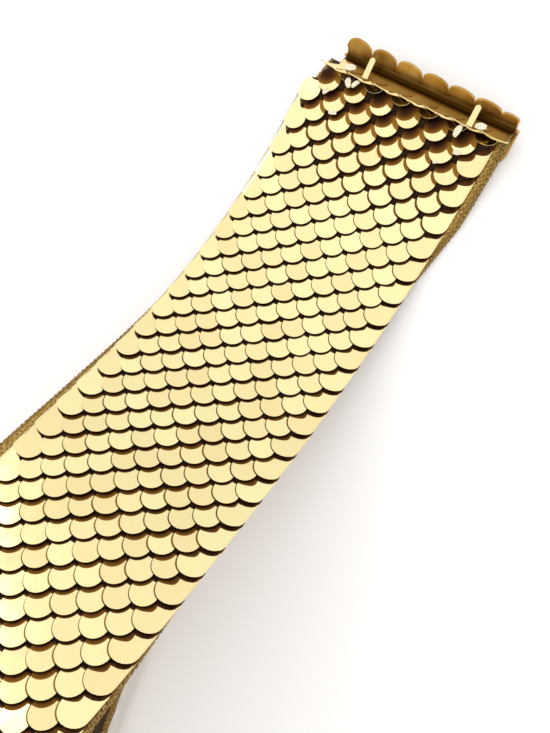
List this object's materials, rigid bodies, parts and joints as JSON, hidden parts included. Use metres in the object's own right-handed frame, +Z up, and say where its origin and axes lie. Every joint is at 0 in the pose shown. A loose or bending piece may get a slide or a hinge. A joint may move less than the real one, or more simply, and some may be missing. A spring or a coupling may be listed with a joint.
{
  "type": "stretch belt",
  "caption": "Wide elastic belt covered in overlapping polished fish scales, lying as an open loop with a scalloped clasp at one end.",
  "frame": {"origin": "centre of the bottom of the whole belt's box, on the surface that the belt lies on", "axes": "+X along the belt towards the clasp, +Y to the belt's left edge seen from above with the clasp ahead, +Z up"},
  "size_m": [0.362, 0.0962, 0.0866],
  "materials": {
    "elastic": "braided elastic with metallic yarn, old gold",
    "polished_gold": "pale gold plating, polished",
    "satin_brass": "brown gold plating, satin"
  },
  "bodies": {
    "root": {"elastic_webbing": "elastic", "scales_upper": "polished_gold", "scales_under": "polished_gold", "clasp_trough": "satin_brass", "clasp_back_plate": "satin_brass", "clasp_tab_left": "polished_gold", "clasp_tab_right": "polished_gold", "catch": "satin_brass"}
  },
  "joints": []
}
